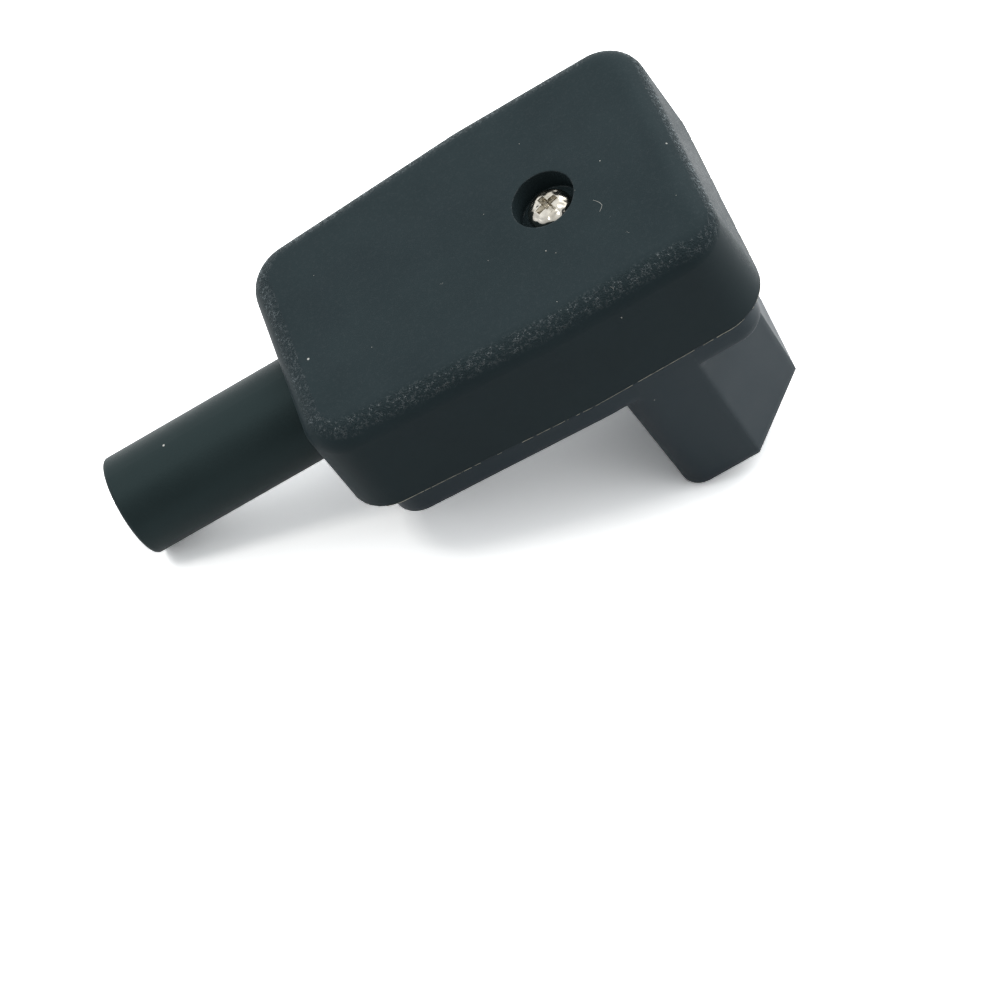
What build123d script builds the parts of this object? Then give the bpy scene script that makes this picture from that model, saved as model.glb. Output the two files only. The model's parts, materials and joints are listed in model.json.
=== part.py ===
"""Right-angle rewirable C13 power connector, in millimetres.

Every piece is drawn in the connector's own frame: the origin lies on the axis of the cover screw,
in the plane where cover and base meet. +X points to the wide end, away from the cable, +Z points
out of the flat top of the cover, and the nose points down. At the end all pieces are turned
together, as the connector comes to rest on a table: on the nose's lower edge and the sleeve's tip.
The cable side of the nose is hollow by a few hundredths, as a long moulded wall sinks, so that the
edge stands on its two ends.
"""
import math
import os

from build123d import *

os.makedirs("parts", exist_ok=True)

# Cover shell
cover_front_wall = 1.55
cover_back_wall = 2.1
cover_side_wall = 2.65
cover_cable_side_wall = 2.1
cover_top_thickness = 2.4
cover_front_corner = 4.8
cover_back_corner = 4.9
cover_top_round = 2.5
cover_inner_bevel = 0.8
cover_draft = 1.8

# Base tray
base_back = 27.8
base_cable_width = 21.7
taper_start = 5.3
base_depth = 6.1
base_corner = 3.1
base_floor = 1.8
base_wall = 1.6
base_rim = 1.5
base_edge_round = 0.4
fit_gap = 0.2

# Nose, given at its tip
nose_front = 11.3
nose_thickness = 14.85
nose_width = 23.7
nose_length = 17.0
nose_chamfer = 6.9
nose_draft = 0.9
nose_back_corner = 2.4
nose_chamfer_corner = 1.2
nose_edge_bevel = 0.4
nose_back_sink = 0.06
nose_seam_gap = 0.3
nose_tip_wall = 1.6

# Standard pin layout
pin_pitch = 14.0
earth_offset = 4.0
slot_length = 4.6
slot_width = 2.4
slot_lead_in = 0.3
chamber_length = 6.2
chamber_width = 4.4

# Folded brass contacts
sheet = 0.8
bend_round_share = 0.9
contact_clearance = 0.2
leaf_length = 5.0
leaf_root_gap = 2.4
leaf_pinch_gap = 1.8
leaf_mouth_gap = 2.6
leaf_flare_height = 1.4
leaf_tip_clearance = 0.4
leaf_drop = 3.2
web_height = 6.0
tail_width = 5.4
tail_end_round = 1.5
tail_side_gap = 0.75
tail_end_gap = 0.6
strip_width = 3.6
tail_overhang = 3.2

# Terminals
terminal_pad_height = 2.3
terminal_pad_margin = 1.0
line_terminal_reach = 7.0
nut_size = 5.4
nut_thickness = 2.0
nut_clearance = 0.1
terminal_shank = 3.0
terminal_screw_length = 4.0
terminal_relief_gap = 0.3
tail_hole = 3.3
washer_diameter = 5.4
washer_hole = 3.2
washer_thickness = 0.6
washer_gap = 0.05
terminal_head_diameter = 5.2
terminal_head_height = 1.9

# Cover screw, its boss, post and insert
screw_recess_diameter = 6.3
screw_recess_wall = 0.85
screw_sunk = 0.8
screw_head_diameter = 4.5
screw_head_height = 1.7
screw_shank = 2.5
screw_length = 12.0
screw_clearance_hole = 2.9
post_wall = 0.95
post_top = 1.0
insert_diameter = 3.8
insert_length = 5.0
post_web = 1.2

# Cross recess and bevelled rim of every screw head
cross_width_share = 0.2
cross_length_share = 0.6
cross_depth_share = 0.5
head_bevel_share = 0.4

# Cable sleeve
guard_diameter = 10.6
guard_wall = 1.8
guard_length = 20.4
guard_height = 3.5
guard_flange_diameter = 13.2
guard_flange_thickness = 1.8
guard_tip_round = 0.4
guard_gap = 0.05
saddle_cheek = 1.1
saddle_wall = 1.6
saddle_rib = 1.2
saddle_split_gap = 0.1

# Cord clamp
clamp_reach = 17.6
clamp_length = 5.0
clamp_opening_diameter = 7.6
clamp_wall = 1.8
clamp_top_gap = 0.55
clamp_foot = 2.2
clamp_ear = 2.0
clamp_edge_round = 0.4
clamp_post_diameter = 4.4
clamp_post_top = 2.0
clamp_screw_shank = 2.6
clamp_screw_length = 7.6
clamp_screw_head = 4.0
clamp_screw_head_height = 1.6
clamp_screw_head_gap = 0.1
clamp_screw_hole = 2.8
cord_saddle_length = 3.0
cord_saddle_rise = 1.6

# Ribs inside the cover that hold the contacts down
hold_rib_length = 1.1
hold_rib_width = 4.0
hold_rib_gap = 0.1
side_rib_inset = 0.5
side_rib_root = 0.5

# Overrun of every cutting tool past the face that it opens
overrun = 1.0


def contact_back(slot_x):
    """The x place of a contact's web, on the cable side of its chamber."""
    return slot_x - chamber_length / 2 + contact_clearance


# Places along the nose, the contacts and their terminals
nose_tip = -(base_depth + nose_length)
nose_back = nose_front - nose_thickness
nose_middle = nose_front - nose_thickness / 2
line_slot_x = nose_middle - earth_offset / 2
earth_slot_x = nose_middle + earth_offset / 2
side_slot_y = pin_pitch / 2
line_terminal_x = contact_back(line_slot_x) - line_terminal_reach
earth_terminal_x = contact_back(earth_slot_x) + hold_rib_length + washer_gap + washer_diameter / 2
terminals = [
    ("line", line_slot_x, line_terminal_x, side_slot_y),
    ("neutral", line_slot_x, line_terminal_x, -side_slot_y),
    ("earth", earth_slot_x, earth_terminal_x, 0),
]

# The base is as wide and long as the tails of the contacts need, and the cover goes round it
base_width = pin_pitch + tail_width + 2 * (tail_side_gap + base_wall)
base_front = earth_terminal_x + tail_overhang + tail_end_gap + base_wall
cover_front = base_front + fit_gap + cover_front_wall
cover_back = base_back + fit_gap + cover_back_wall
cover_width = base_width + 2 * (fit_gap + cover_side_wall)
cover_cable_width = base_cable_width + 2 * (fit_gap + cover_cable_side_wall)
clamp_top = guard_height + clamp_opening_diameter / 2 + clamp_wall
cover_ceiling = clamp_top + clamp_top_gap
cover_height = cover_ceiling + cover_top_thickness

# Heights inside
floor_top = base_floor - base_depth
chamber_floor = nose_tip + nose_tip_wall
pad_top = floor_top + terminal_pad_height
tail_top = pad_top + sheet
washer_top = tail_top + washer_thickness
screw_seat = cover_height - screw_sunk - screw_head_height

# Widths and lengths of what holds the screws, the sleeve and the cord
guard_bore = guard_diameter - 2 * guard_wall
boss_diameter = screw_recess_diameter + 2 * screw_recess_wall
post_diameter = insert_diameter + 2 * post_wall
pad_size = nut_size + 2 * (nut_clearance + terminal_pad_margin)
saddle_width = guard_flange_diameter + 2 * saddle_cheek
saddle_inside = base_back - saddle_wall - guard_flange_thickness - 2 * guard_gap - saddle_rib
clamp_screw_y = clamp_opening_diameter / 2 + clamp_wall + clamp_screw_head_gap + clamp_screw_head / 2


def level(height):
    """Horizontal plane at a height above the seam."""
    return Plane.XY.offset(height)


def tapered_plan(height, front, back, width, cable_width, front_corner, back_corner, grow=0):
    """Plan of a housing shell: parallel at the wide end, narrowing to the cable end."""
    with BuildSketch(level(height)) as plan:
        with BuildLine():
            Polyline(
                (front, 0),
                (front, width / 2),
                (-taper_start, width / 2),
                (-back, cable_width / 2),
                (-back, 0),
            )
            mirror(about=Plane.XZ)
        make_face()
        fillet(plan.vertices().group_by(Axis.X)[-1], front_corner)
        fillet(plan.vertices().group_by(Axis.X)[0], back_corner)
        if grow:
            offset(amount=grow, kind=Kind.INTERSECTION)
    return plan.sketch


def base_plan(height, grow=0):
    """Plan of the base tray, grown or shrunk all round."""
    return tapered_plan(
        height,
        base_front,
        base_back,
        base_width,
        base_cable_width,
        base_corner,
        base_corner,
        grow,
    )


def block(x_low, x_high, y_size, z_low, z_high, y_middle=0, mode=Mode.ADD):
    """Straight block, centred on y_middle, between two x and two z values."""
    with BuildSketch(level(z_low)) as footprint:
        with Locations(((x_low + x_high) / 2, y_middle)):
            Rectangle(x_high - x_low, y_size)
    extrude(footprint.sketch, amount=z_high - z_low, mode=mode)


def column(x, y, diameter, z_low, z_high, mode=Mode.ADD):
    """Upright round column or hole between two heights."""
    with BuildSketch(level(z_low)) as footprint:
        with Locations((x, y)):
            Circle(diameter / 2)
    extrude(footprint.sketch, amount=z_high - z_low, mode=mode)


def cable_round(x_low, x_high, diameter, mode=Mode.SUBTRACT):
    """Round along the sleeve's axis, between two x values."""
    axis_plane = Plane(origin=(x_low, 0, guard_height), x_dir=(0, 1, 0), z_dir=(1, 0, 0))
    with BuildSketch(axis_plane) as section:
        Circle(diameter / 2)
    extrude(section.sketch, amount=x_high - x_low, mode=mode)


def sleeve_seat(x_low, x_high):
    """Cut the seat of the sleeve and of its flange into a housing half."""
    cable_round(x_low, x_high, guard_diameter + 2 * guard_gap)
    flange_end = -(base_back - saddle_wall)
    flange_start = flange_end + guard_flange_thickness + 2 * guard_gap
    cable_round(flange_end, flange_start, guard_flange_diameter + 2 * guard_gap)


# Cover: a drafted shell with a sunk screw seat, boss, ribs and sleeve seat
with BuildPart() as cover:
    outline = tapered_plan(
        0,
        cover_front,
        cover_back,
        cover_width,
        cover_cable_width,
        cover_front_corner,
        cover_back_corner,
    )
    extrude(outline, amount=cover_height, taper=cover_draft)
    fillet(cover.faces().sort_by(Axis.Z)[-1].edges(), cover_top_round)
    with BuildPart(mode=Mode.PRIVATE) as hollow:
        extrude(base_plan(-overrun, fit_gap), amount=cover_ceiling + overrun)
        chamfer(hollow.faces().sort_by(Axis.Z)[-1].edges(), cover_inner_bevel)
    add(hollow.part, mode=Mode.SUBTRACT)
    block(
        -base_back - fit_gap,
        -saddle_inside,
        saddle_width,
        guard_height + saddle_split_gap,
        cover_ceiling,
    )
    column(0, 0, boss_diameter, screw_seat - cover_top_thickness, cover_ceiling)
    column(0, 0, post_diameter, post_top, cover_ceiling)
    rib_bottom = tail_top + hold_rib_gap
    rib_end = contact_back(line_slot_x)
    rib_inside = side_slot_y + side_rib_inset
    rib_levels = [
        (rib_bottom, base_width / 2 - base_wall - fit_gap),
        (base_rim + fit_gap, base_width / 2 + fit_gap + side_rib_root),
    ]
    for side in (-1, 1):
        for rib_low, rib_outside in rib_levels:
            block(
                rib_end - hold_rib_length,
                rib_end,
                rib_outside - rib_inside,
                rib_low,
                cover_ceiling,
                side * (rib_inside + rib_outside) / 2,
            )
    earth_rib = contact_back(earth_slot_x)
    block(earth_rib, earth_rib + hold_rib_length, hold_rib_width, rib_bottom, cover_ceiling)
    column(0, 0, screw_recess_diameter, screw_seat, cover_height + overrun, Mode.SUBTRACT)
    column(0, 0, screw_clearance_hole, -overrun, cover_height, Mode.SUBTRACT)
    sleeve_seat(-cover_back - overrun, -saddle_inside + overrun)
    block(
        -cover_back - overrun,
        -base_back,
        guard_diameter + 2 * guard_gap,
        -overrun,
        guard_height,
        mode=Mode.SUBTRACT,
    )

# Base: a tray that fits inside the cover, with the nose below it
with BuildPart() as base:
    extrude(base_plan(-base_depth), amount=base_depth + base_rim)
    fillet(base.faces().sort_by(Axis.Z)[0].edges(), base_edge_round)
    with BuildPart(mode=Mode.PRIVATE) as nose:
        with BuildSketch(level(nose_tip)) as nose_section:
            with BuildLine():
                Polyline(
                    (nose_back, -nose_width / 2),
                    (nose_front - nose_chamfer, -nose_width / 2),
                    (nose_front, nose_chamfer - nose_width / 2),
                    (nose_front, nose_width / 2 - nose_chamfer),
                    (nose_front - nose_chamfer, nose_width / 2),
                    (nose_back, nose_width / 2),
                )
                ThreePointArc(
                    (nose_back, nose_width / 2),
                    (nose_back + nose_back_sink, 0),
                    (nose_back, -nose_width / 2),
                )
            make_face()
            back_corners = nose_section.vertices().group_by(Axis.X)[0]
            chamfer_corners = nose_section.vertices() - back_corners
            fillet(back_corners, nose_back_corner)
            fillet(chamfer_corners, nose_chamfer_corner)
        extrude(amount=nose_length + base_depth - nose_seam_gap, taper=-nose_draft)
        chamfer(nose.faces().sort_by(Axis.Z)[0].edges(), nose_edge_bevel)
    add(nose.part)
    extrude(base_plan(floor_top, -base_wall), amount=base_rim - floor_top + overrun, mode=Mode.SUBTRACT)
    # terminal pads, screw post with its webs, clamp posts, cord saddle and sleeve cheeks
    for name, slot_x, x, y in terminals:
        block(x - pad_size / 2, x + pad_size / 2, pad_size, floor_top, pad_top, y)
    column(0, 0, post_diameter, floor_top, post_top)
    block(-post_web / 2, post_web / 2, pin_pitch - chamber_width, floor_top, pad_top)
    for side in (-1, 1):
        column(-clamp_reach, side * clamp_screw_y, clamp_post_diameter, floor_top, clamp_post_top)
    block(
        -clamp_reach - cord_saddle_length / 2,
        -clamp_reach + cord_saddle_length / 2,
        2 * clamp_screw_y - clamp_post_diameter / 2,
        floor_top,
        cord_saddle_rise,
    )
    cable_round(
        -clamp_reach - cord_saddle_length,
        -clamp_reach + cord_saddle_length,
        clamp_opening_diameter,
    )
    block(-base_back + base_wall / 2, -saddle_inside, saddle_width, floor_top, guard_height)
    block(-base_back, -base_back + base_wall, saddle_width, floor_top, guard_height)
    sleeve_seat(-base_back - overrun, -saddle_inside + overrun)

    # chamber, slot, nut pocket and screw relief of each contact
    nut_space = nut_size + 2 * nut_clearance
    nut_floor = pad_top - nut_thickness - nut_clearance
    relief_floor = washer_top - terminal_screw_length - terminal_relief_gap
    for name, slot_x, x, y in terminals:
        slot_start = slot_x - slot_length / 2
        chamber_start = slot_x - chamber_length / 2
        block(
            chamber_start,
            chamber_start + chamber_length,
            chamber_width,
            chamber_floor,
            post_top,
            y,
            Mode.SUBTRACT,
        )
        block(
            slot_start,
            slot_start + slot_length,
            slot_width,
            nose_tip - overrun,
            chamber_floor,
            y,
            Mode.SUBTRACT,
        )
        block(x - nut_space / 2, x + nut_space / 2, nut_space, nut_floor, post_top, y, Mode.SUBTRACT)
        column(x, y, tail_hole, relief_floor, pad_top, Mode.SUBTRACT)
    column(0, 0, insert_diameter, post_top - insert_length, post_top, Mode.SUBTRACT)
    column(0, 0, screw_clearance_hole, screw_seat - screw_length - overrun, post_top, Mode.SUBTRACT)
    pilot_end = clamp_post_top + clamp_foot - clamp_screw_length
    for side in (-1, 1):
        column(
            -clamp_reach,
            side * clamp_screw_y,
            clamp_screw_shank,
            pilot_end,
            clamp_post_top,
            Mode.SUBTRACT,
        )
    tip_rims = base.faces().sort_by(Axis.Z)[0].inner_wires().edges()
    chamfer(tip_rims, slot_lead_in)

pieces = {"cover": cover, "base": base}


def pan_screw(x, y, seat, head_diameter, head_height, shank_diameter, length):
    """Pan head screw with a cross recess, its head seated at a height."""
    with BuildPart() as screw:
        column(x, y, head_diameter, seat, seat + head_height)
        chamfer(screw.faces().sort_by(Axis.Z)[-1].edges(), head_bevel_share * head_height)
        column(x, y, shank_diameter, seat - length, seat)
        with BuildSketch(level(seat + head_height)) as cross:
            with Locations((x, y)):
                Rectangle(cross_length_share * head_diameter, cross_width_share * head_diameter)
                Rectangle(cross_width_share * head_diameter, cross_length_share * head_diameter)
        extrude(amount=-cross_depth_share * head_height, mode=Mode.SUBTRACT)
    return screw


def contact(slot_x, slot_y, terminal_x):
    """Contact folded from one brass strip: two sprung leaves, a web, a rising strip and a tail."""
    back = contact_back(slot_x)
    mouth = chamber_floor + leaf_tip_clearance
    pinch = mouth + leaf_flare_height
    root = floor_top - leaf_drop
    if terminal_x < back:
        tail_start = terminal_x - tail_overhang
        tail_end = back + sheet
        bend_x = tail_end
        far_x = tail_start
    else:
        tail_start = back
        tail_end = terminal_x + tail_overhang
        bend_x = tail_start
        far_x = tail_end
    with BuildPart() as brass:
        leaf_plane = Plane(origin=(back, slot_y, 0), x_dir=(0, 1, 0), z_dir=(1, 0, 0))
        with BuildSketch(leaf_plane):
            with BuildLine():
                Polyline(
                    (leaf_root_gap / 2, root),
                    (leaf_root_gap / 2, root - web_height),
                    (leaf_pinch_gap / 2, pinch),
                    (leaf_mouth_gap / 2, mouth),
                    (leaf_mouth_gap / 2 + sheet, mouth),
                    (leaf_pinch_gap / 2 + sheet, pinch),
                    (leaf_root_gap / 2 + sheet, root - web_height),
                    (leaf_root_gap / 2 + sheet, root),
                    close=True,
                )
            make_face()
            mirror(about=Plane.YZ)
        extrude(amount=leaf_length)
        block(back, back + sheet, leaf_root_gap + 2 * sheet, root - web_height, root, slot_y)
        block(back, back + sheet, strip_width, root, tail_top, slot_y)
        block(tail_start, tail_end, tail_width, pad_top, tail_top, slot_y)
        bends = brass.edges().filter_by(Axis.Y).filter_by_position(Axis.Z, tail_top, tail_top)
        fillet(bends.sort_by(lambda edge: abs(edge.center().X - bend_x))[0], bend_round_share * sheet)
        corners = brass.edges().filter_by(Axis.Z).filter_by_position(Axis.X, far_x, far_x)
        fillet(corners, tail_end_round)
        column(terminal_x, slot_y, tail_hole, pad_top, tail_top, Mode.SUBTRACT)
    return brass


def square_nut(x, y):
    """Square nut in the pocket under a tail."""
    with BuildPart() as nut:
        block(x - nut_size / 2, x + nut_size / 2, nut_size, pad_top - nut_thickness, pad_top, y)
        column(x, y, terminal_shank, pad_top - nut_thickness, pad_top, Mode.SUBTRACT)
    return nut


def washer(x, y):
    """Round washer between a tail and the head of its screw."""
    with BuildPart() as ring:
        column(x, y, washer_diameter, tail_top, washer_top)
        column(x, y, washer_hole, tail_top, washer_top, Mode.SUBTRACT)
    return ring


for name, slot_x, x, y in terminals:
    pieces[name + "_contact"] = contact(slot_x, y, x)
    pieces[name + "_nut"] = square_nut(x, y)
    pieces[name + "_washer"] = washer(x, y)
    pieces[name + "_screw"] = pan_screw(
        x,
        y,
        washer_top,
        terminal_head_diameter,
        terminal_head_height,
        terminal_shank,
        terminal_screw_length,
    )

pieces["cover_screw"] = pan_screw(
    0,
    0,
    screw_seat,
    screw_head_diameter,
    screw_head_height,
    screw_shank,
    screw_length,
)

with BuildPart() as cover_insert:
    column(0, 0, insert_diameter, post_top - insert_length, post_top)
    column(0, 0, screw_shank, post_top - insert_length, post_top, Mode.SUBTRACT)
pieces["cover_insert"] = cover_insert

# Sleeve: one turned section, with the flange that the housing traps
with BuildPart() as cable_guard:
    sleeve_plane = Plane(origin=(0, 0, guard_height), x_dir=(1, 0, 0), z_dir=(0, -1, 0))
    guard_tip = -cover_back - guard_length
    flange_end = -(base_back - saddle_wall) + guard_gap
    flange_start = flange_end + guard_flange_thickness
    with BuildSketch(sleeve_plane) as sleeve_section:
        with BuildLine():
            Polyline(
                (guard_tip, guard_bore / 2),
                (guard_tip, guard_diameter / 2),
                (flange_end, guard_diameter / 2),
                (flange_end, guard_flange_diameter / 2),
                (flange_start, guard_flange_diameter / 2),
                (flange_start, guard_diameter / 2),
                (-saddle_inside, guard_diameter / 2),
                (-saddle_inside, guard_bore / 2),
                close=True,
            )
        make_face()
        fillet(sleeve_section.vertices().group_by(Axis.X)[0].sort_by(Axis.Y)[-1], guard_tip_round)
    revolve(axis=Axis((0, 0, guard_height), (1, 0, 0)))
pieces["cable_guard"] = cable_guard

# Cord clamp: a bar arched over the cord, screwed to two posts
with BuildPart() as cord_clamp:
    clamp_plane = Plane(
        origin=(-clamp_reach - clamp_length / 2, 0, guard_height),
        x_dir=(0, 1, 0),
        z_dir=(1, 0, 0),
    )
    clamp_span = 2 * (clamp_screw_y + clamp_ear)
    foot_bottom = clamp_post_top - guard_height
    with BuildSketch(clamp_plane):
        Circle(clamp_opening_diameter / 2 + clamp_wall)
        with Locations((0, foot_bottom)):
            Rectangle(clamp_span, clamp_foot, align=(Align.CENTER, Align.MIN))
            Rectangle(clamp_span, clamp_top, align=(Align.CENTER, Align.MAX), mode=Mode.SUBTRACT)
        Circle(clamp_opening_diameter / 2, mode=Mode.SUBTRACT)
    extrude(amount=clamp_length)
    fillet(cord_clamp.edges().filter_by(Axis.Z), clamp_edge_round)
    for side in (-1, 1):
        column(
            -clamp_reach,
            side * clamp_screw_y,
            clamp_screw_hole,
            clamp_post_top,
            clamp_post_top + clamp_foot,
            Mode.SUBTRACT,
        )
pieces["cord_clamp"] = cord_clamp

for name, side in (("cord_clamp_screw_left", 1), ("cord_clamp_screw_right", -1)):
    pieces[name] = pan_screw(
        -clamp_reach,
        side * clamp_screw_y,
        clamp_post_top + clamp_foot,
        clamp_screw_head,
        clamp_screw_head_height,
        clamp_screw_shank,
        clamp_screw_length,
    )

# The connector rests on the nose's bevelled cable-side edge and on the round of the sleeve's tip.
# The floor meets that edge and touches the round, so the connector leans by the slope between the
# edge and the centre of the round, less the angle that the radius takes.
nose_edge_x = nose_back + nose_edge_bevel
tip_round_x = -cover_back - guard_length + guard_tip_round
tip_round_z = guard_height - guard_diameter / 2 + guard_tip_round
run = nose_edge_x - tip_round_x
drop = tip_round_z - nose_tip
rest_angle = math.atan2(drop, run) - math.asin(guard_tip_round / math.hypot(run, drop))
turned = Rotation(0, -math.degrees(rest_angle), 0)
resting = [turned * piece.part for piece in pieces.values()]
box = Compound(children=[solid.moved(Location()) for solid in resting]).bounding_box()
settle = Location((-(box.min.X + box.max.X) / 2, 0, -box.min.Z))

for name, solid in zip(pieces, resting):
    placed = solid.moved(settle)
    placed.label = name
    export_step(placed, f"parts/{name}.step")

print("rest angle", round(math.degrees(rest_angle), 2))
print("box", [round(v, 3) for v in (*box.min, *box.max)])
print("screw axis foot", [round(v, 3) for v in (settle * turned * Location((0, 0, 0))).position])
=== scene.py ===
# %% [markdown]
# # A right-angle power connector, dressed around its solids
#
# The connector is a small black housing in two halves with a rubber sleeve at one end and a nose
# with three slots below. Its solids already have their true sizes, so this lesson adds what the
# solids lack: the finish of each surface, the thread and the cross of each screw, the thin flash
# that the mould left along the lower edge of the cover, the dust, and the light of a plain table.

import json
import math

import bmesh
import bpy
from mathutils import Matrix, Vector


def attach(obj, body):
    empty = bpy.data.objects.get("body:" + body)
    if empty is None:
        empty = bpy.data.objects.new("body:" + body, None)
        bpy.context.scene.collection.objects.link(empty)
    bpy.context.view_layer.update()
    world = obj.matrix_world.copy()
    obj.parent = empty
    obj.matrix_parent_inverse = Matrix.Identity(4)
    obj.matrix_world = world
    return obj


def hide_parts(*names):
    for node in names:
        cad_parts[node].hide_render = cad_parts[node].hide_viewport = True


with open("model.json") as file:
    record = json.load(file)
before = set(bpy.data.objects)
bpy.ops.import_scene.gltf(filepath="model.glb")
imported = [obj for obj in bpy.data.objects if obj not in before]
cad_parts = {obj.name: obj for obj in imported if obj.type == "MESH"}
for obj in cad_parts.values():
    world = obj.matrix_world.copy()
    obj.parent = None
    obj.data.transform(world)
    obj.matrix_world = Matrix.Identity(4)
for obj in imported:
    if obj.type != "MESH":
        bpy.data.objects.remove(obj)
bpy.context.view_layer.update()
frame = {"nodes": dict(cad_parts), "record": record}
nodes = frame["nodes"]

# %% [markdown]
# ## The connector's own axes
#
# The connector leans as it rests, on the lower edge of its nose and on the tip of its sleeve. Every
# added piece is easier to draw upright, so two mounts of the record give the lean: the bore of the
# sleeve points back along the connector, and the face of the nose points down from it. A point is
# then written in millimetres from the foot of the cover screw, and turned into the row's metres.

# %% Axes and places taken from the mounts
MM = 0.001
mounts = {mount["name"]: mount for mount in frame["record"]["mounts"]}
along = -Vector(mounts["cord_bore"]["axis"]).normalized()
upward = -Vector(mounts["nose_face"]["axis"]).normalized()
across = upward.cross(along).normalized()
# The middle of the nose's face, in millimetres from the foot of the cover screw.
nose_face_x = 0.375
nose_face_z = -23.1
foot = Vector(mounts["nose_face"]["pos_m"]) - (along * nose_face_x + upward * nose_face_z) * MM
connector_axes = Matrix((along, across, upward)).transposed().to_4x4()
connector = Matrix.Translation(foot) @ connector_axes @ Matrix.Scale(MM, 4)
lean = math.degrees(math.atan2(along.z, along.x))
print("lean", round(lean, 2), "degrees, foot of the cover screw", [round(v, 5) for v in foot])

# %% [markdown]
# ## Camera
#
# The photograph looks down on the connector from one long side, turned a little to the cable end
# and about fifty degrees above the table, with a long lens and a slight roll. A rotation built from
# three plain angles keeps that readable: first the roll about the view, then the tilt, then the
# turn on the table.

# %% Camera at the photograph's viewing angle
camera_place = (-0.05302, -0.20465, 0.24750)
view_elevation = 50.288
view_azimuth = 15.782
view_roll = -2.012
focal_length = 116.71
turn = Matrix.Rotation(math.radians(-view_azimuth), 4, "Z")
tilt = Matrix.Rotation(math.radians(90 - view_elevation), 4, "X")
roll = Matrix.Rotation(math.radians(view_roll), 4, "Z")
camera_data = bpy.data.cameras.new("camera")
camera_data.lens = focal_length
camera_data.clip_start = 0.01
camera_data.clip_end = 20
camera = bpy.data.objects.new("camera", camera_data)
camera.matrix_world = Matrix.Translation(camera_place) @ turn @ tilt @ roll
bpy.context.scene.collection.objects.link(camera)
bpy.context.scene.camera = camera
print("camera at", camera_place, "with a", focal_length, "mm lens")

# %% [markdown]
# ## Table, light and background
#
# The connector stands on a white table in a bright room. The photograph is exposed for the black
# plastic, so the table is burnt out in it and its shadows are light, while little light comes back
# from the table to the sides of the plastic. More light would turn the plastic grey. Here the light
# stays at a plain level: the table is a dark, cool grey for the rays that carry light, and a second
# matt layer makes it white for the rays that the eye follows, and partly so in what mirrors it.
#
# The room itself is five broad patches of light, behind and above the connector and on its sides, and
# it is nearly dark where the viewer stands. That is what makes the far edges pale and the near side
# dark. A lamp near by stands for a window, and a small one far off picks out the grain and the screw.


# %% Helpers for node trees
def node(tree, kind, settings=None, **values):
    """A node of a kind, with its settings and the values of its unlinked inputs."""
    made = tree.nodes.new(kind)
    for title, value in (settings or {}).items():
        setattr(made, title, value)
    for title, value in values.items():
        made.inputs[title.replace("_", " ")].default_value = value
    return made


def math_node(tree, operation, first, second, clamp=False):
    """A math node on two inputs, each a number or the output of another node."""
    made = tree.nodes.new("ShaderNodeMath")
    made.operation = operation
    made.use_clamp = clamp
    for index, source in enumerate((first, second)):
        if isinstance(source, (int, float)):
            made.inputs[index].default_value = source
        else:
            tree.links.new(source, made.inputs[index])
    return made.outputs[0]


def ramp(tree, source, low, high):
    """A smooth step from 0 at low to 1 at high."""
    made = tree.nodes.new("ShaderNodeMapRange")
    made.interpolation_type = "SMOOTHSTEP"
    made.inputs["From Min"].default_value = low
    made.inputs["From Max"].default_value = high
    tree.links.new(source, made.inputs["Value"])
    return made.outputs["Result"]


def seen_by_eye(tree, share_in_mirrors):
    """1 for rays that come from the eye, straight or through glass, and a share for mirrored ones."""
    ray = node(tree, "ShaderNodeLightPath")
    mirrored = math_node(tree, "MULTIPLY", ray.outputs["Is Glossy Ray"], share_in_mirrors)
    straight = math_node(tree, "MAXIMUM", ray.outputs["Is Camera Ray"], mirrored)
    return math_node(tree, "MAXIMUM", straight, ray.outputs["Is Transmission Ray"])


def mix_shaders(tree, mask, low, high):
    """A shader that goes from low to high with a mask."""
    made = node(tree, "ShaderNodeMixShader")
    for socket, source in zip(made.inputs, (mask, low, high)):
        tree.links.new(source, socket)
    return made.outputs["Shader"]


print("helpers ready")

# %% A room of five broad patches of light
PATCH_EDGE = 0.3
VIEWER_SIDE_LIGHT = 0.03
ROOM_COLOUR = (0.97, 0.99, 1.0, 1)
ROOM_IN_MIRRORS = 0.25
# Each patch has the direction towards it and its strength.
patches_of_light = {
    "behind": ((0, 0.90, 0.43), 0.82),
    "behind left": ((-0.55, 0.55, 0.63), 0.40),
    "above": ((0, 0, 1), 0.58),
    "left": ((-0.90, 0, 0.43), 0.36),
    "right": ((0.90, 0, 0.43), 1.00),
}
world = bpy.data.worlds.new("room")
world.use_nodes = True
bpy.context.scene.world = world
room = world.node_tree
direction = node(room, "ShaderNodeTexCoord")
total = VIEWER_SIDE_LIGHT
for title, (towards, strength) in patches_of_light.items():
    facing_patch = node(room, "ShaderNodeVectorMath", {"operation": "DOT_PRODUCT", "label": title})
    facing_patch.inputs[1].default_value = towards
    room.links.new(direction.outputs["Generated"], facing_patch.inputs[0])
    patch = ramp(room, facing_patch.outputs["Value"], PATCH_EDGE, 1.0)
    total = math_node(room, "ADD", total, math_node(room, "MULTIPLY", patch, strength))
room_light = room.nodes["Background"]
room_light.inputs["Color"].default_value = ROOM_COLOUR
room.links.new(total, room_light.inputs["Strength"])
white_room = node(room, "ShaderNodeBackground", Color=(1, 1, 1, 1), Strength=1.0)
by_eye = seen_by_eye(room, ROOM_IN_MIRRORS)
both_rooms = (room_light.outputs["Background"], white_room.outputs["Background"])
room.links.new(mix_shaders(room, by_eye, *both_rooms), room.nodes["World Output"].inputs["Surface"])
print("room light from", list(patches_of_light))


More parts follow.
